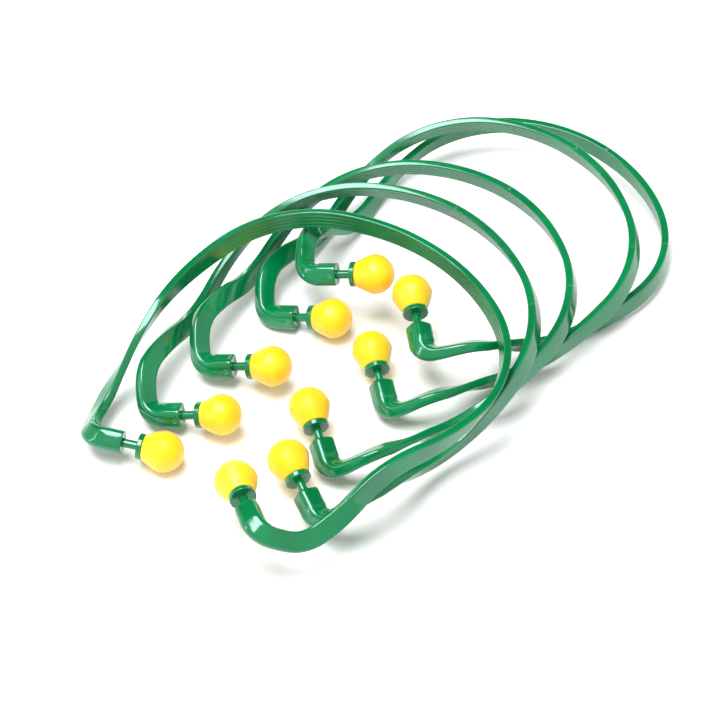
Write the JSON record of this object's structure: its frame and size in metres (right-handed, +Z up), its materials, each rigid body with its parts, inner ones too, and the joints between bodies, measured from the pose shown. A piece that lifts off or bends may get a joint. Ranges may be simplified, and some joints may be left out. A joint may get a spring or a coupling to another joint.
{
  "type": "banded hearing protector set",
  "caption": "Set of banded hearing protectors: sprung plastic bands with hooked ends, turning ear-tip stems and soft foam pods, fanned out over one another.",
  "frame": {"origin": "on the table under the middle of the set", "axes": "+Z up, +Y away from the person standing at the open ends' side, +X to the right; the open ends point to -X -Y"},
  "size_m": [0.2066, 0.215, 0.0327],
  "materials": {
    "band_plastic": "glossy moulded plastic",
    "stem_plastic": "glossy moulded plastic",
    "pod_foam": "matte soft foam"
  },
  "bodies": {
    "protector_1": {"band_1": "band_plastic"},
    "tip_left_1": {"stem_left_1": "stem_plastic", "pod_left_1": "pod_foam"},
    "tip_right_1": {"stem_right_1": "stem_plastic", "pod_right_1": "pod_foam"},
    "protector_2": {"band_2": "band_plastic"},
    "tip_left_2": {"stem_left_2": "stem_plastic", "pod_left_2": "pod_foam"},
    "tip_right_2": {"stem_right_2": "stem_plastic", "pod_right_2": "pod_foam"},
    "protector_3": {"band_3": "band_plastic"},
    "tip_left_3": {"stem_left_3": "stem_plastic", "pod_left_3": "pod_foam"},
    "tip_right_3": {"stem_right_3": "stem_plastic", "pod_right_3": "pod_foam"},
    "protector_4": {"band_4": "band_plastic"},
    "tip_left_4": {"stem_left_4": "stem_plastic", "pod_left_4": "pod_foam"},
    "tip_right_4": {"stem_right_4": "stem_plastic", "pod_right_4": "pod_foam"},
    "protector_5": {"band_5": "band_plastic"},
    "tip_left_5": {"stem_left_5": "stem_plastic", "pod_left_5": "pod_foam"},
    "tip_right_5": {"stem_right_5": "stem_plastic", "pod_right_5": "pod_foam"}
  },
  "joints": [
    {"name": "lift_4", "type": "slide", "parent": "protector_5", "child": "protector_4", "axis": [0, 0, 1], "range_m": [0, 0.04]},
    {"name": "lift_3", "type": "slide", "parent": "protector_4", "child": "protector_3", "axis": [0, 0, 1], "range_m": [0, 0.04]},
    {"name": "lift_2", "type": "slide", "parent": "protector_3", "child": "protector_2", "axis": [0, 0, 1], "range_m": [0, 0.04]},
    {"name": "lift_1", "type": "slide", "parent": "protector_2", "child": "protector_1", "axis": [0, 0, 1], "range_m": [0, 0.04]},
    {"name": "turn_left_1", "type": "hinge", "parent": "protector_1", "child": "tip_left_1", "pos_m": [-0.04549, -0.09328, 0.02131], "axis": [-0.3106, 0.9397, -0.143], "continuous": true},
    {"name": "turn_right_1", "type": "hinge", "parent": "protector_1", "child": "tip_right_1", "pos_m": [-0.08861, -0.05455, 0.00882], "axis": [0.9743, -0.2099, -0.0819], "continuous": true},
    {"name": "turn_left_2", "type": "hinge", "parent": "protector_2", "child": "tip_left_2", "pos_m": [-0.07, -0.0411, 0.00749], "axis": [0.9732, -0.1412, 0.1813], "continuous": true},
    {"name": "turn_right_2", "type": "hinge", "parent": "protector_2", "child": "tip_right_2", "pos_m": [-0.028, -0.07775, 0.01021], "axis": [-0.4122, 0.8931, 0.1803], "continuous": true},
    {"name": "turn_left_3", "type": "hinge", "parent": "protector_3", "child": "tip_left_3", "pos_m": [-0.05352, -0.01963, 0.00875], "axis": [0.9616, -0.1811, 0.2062], "continuous": true},
    {"name": "turn_right_3", "type": "hinge", "parent": "protector_3", "child": "tip_right_3", "pos_m": [-0.02339, -0.05368, 0.00808], "axis": [-0.2801, 0.9333, 0.2247], "continuous": true},
    {"name": "turn_left_4", "type": "hinge", "parent": "protector_4", "child": "tip_left_4", "pos_m": [-0.03283, 0.00729, 0.00569], "axis": [0.941, -0.2524, 0.2254], "continuous": true},
    {"name": "turn_right_4", "type": "hinge", "parent": "protector_4", "child": "tip_right_4", "pos_m": [-0.00331, -0.02683, 0.00762], "axis": [-0.2119, 0.9542, 0.211], "continuous": true},
    {"name": "turn_left_5", "type": "hinge", "parent": "protector_5", "child": "tip_left_5", "pos_m": [-0.01837, 0.01524, 0.01911], "axis": [0.9656, -0.1825, 0.1853], "continuous": true},
    {"name": "turn_right_5", "type": "hinge", "parent": "protector_5", "child": "tip_right_5", "pos_m": [0.00963, -0.01037, 0.01868], "axis": [-0.1416, 0.9704, 0.1956], "continuous": true}
  ]
}
